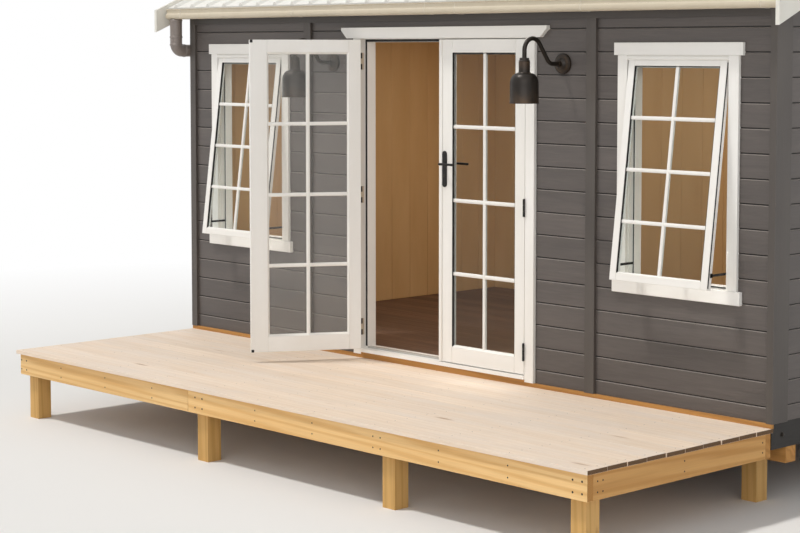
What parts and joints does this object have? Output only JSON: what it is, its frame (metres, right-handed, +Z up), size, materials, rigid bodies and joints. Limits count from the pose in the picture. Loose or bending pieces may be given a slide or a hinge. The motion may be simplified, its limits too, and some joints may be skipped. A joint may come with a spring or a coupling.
{
  "type": "garden office pod",
  "caption": "Gabled timber garden office with weatherboard walls, glazed double doors, open top-hung windows, gooseneck lamps and a raised front deck.",
  "frame": {"origin": "on the ground, under the middle of the whole pod and deck", "axes": "+X along the front wall to the viewer's right, +Y from the deck into the pod, +Z up"},
  "size_m": [5.48, 4.903, 3.5618],
  "materials": {
    "black_metal": "satin black coated metal",
    "bronze": "satin dark bronze coated metal",
    "clear_glass": "clear glass",
    "cream_metal": "satin cream coated steel",
    "dark_paint": "satin dark charcoal paint on timber",
    "deck_pine": "pale treated pine boards, bare",
    "floor_timber": "matt dark brown timber",
    "new_pine": "treated pine, bare",
    "pipe_metal": "satin brown-grey coated pipe",
    "white_paint": "satin white paint on timber"
  },
  "bodies": {
    "pod": {"stumps": "new_pine", "floor_bearers": "new_pine", "floor_joists": "new_pine", "long_skirts": "dark_paint", "end_skirts": "dark_paint", "floor": "floor_timber", "front_wall_left": "dark_paint", "front_wall_right": "dark_paint", "front_wall_over_door": "dark_paint", "left_end_wall": "dark_paint", "right_end_wall": "dark_paint", "back_wall": "dark_paint", "ceiling": "white_paint", "corner_boards": "dark_paint", "cover_strips": "dark_paint", "frieze_boards": "dark_paint", "window_trims": "white_paint", "window_frames": "white_paint", "window_sashes": "white_paint", "window_glass": "clear_glass", "window_stays": "black_metal", "door_frame": "white_paint", "door_sill": "white_paint", "door_head_trim": "white_paint", "frame_hinges": "black_metal", "roof_front": "cream_metal", "roof_back": "cream_metal", "ridge_cap": "cream_metal", "barge_boards": "cream_metal", "fascia_boards": "cream_metal", "gutter_floors": "cream_metal", "gutter_bends": "cream_metal", "gutter_fronts": "cream_metal", "gutter_backs": "cream_metal", "gutter_ends": "cream_metal", "downpipe": "pipe_metal", "deck_boards": "deck_pine", "deck_fascia": "new_pine", "deck_joists": "new_pine", "deck_ledger": "new_pine", "deck_posts": "new_pine", "deck_packer": "new_pine", "lamp_arms": "bronze", "lamp_shades": "bronze"},
    "left_leaf": {"left_leaf": "white_paint", "left_leaf_glass": "clear_glass", "left_leaf_hardware": "black_metal"},
    "right_leaf": {"right_leaf": "white_paint", "right_leaf_glass": "clear_glass", "right_leaf_hardware": "black_metal"},
    "door_levers": {"door_levers": "black_metal"}
  },
  "joints": [
    {"name": "left_leaf_hinge", "type": "hinge", "parent": "pod", "child": "left_leaf", "pos_m": [-0.729, -0.9595, 1.55], "axis": [0, 0, 1], "range_deg": [0, 120]},
    {"name": "right_leaf_hinge", "type": "hinge", "parent": "pod", "child": "right_leaf", "pos_m": [0.753, -0.9595, 1.55], "axis": [0, 0, 1], "range_deg": [0, 120]},
    {"name": "lever_turn", "type": "hinge", "parent": "right_leaf", "child": "door_levers", "pos_m": [0.0645, -0.9515, 1.787], "axis": [0, 1, 0], "range_deg": [0, 40], "stiffness_Nm_per_rad": 1.5, "springref_deg": -22.92}
  ]
}
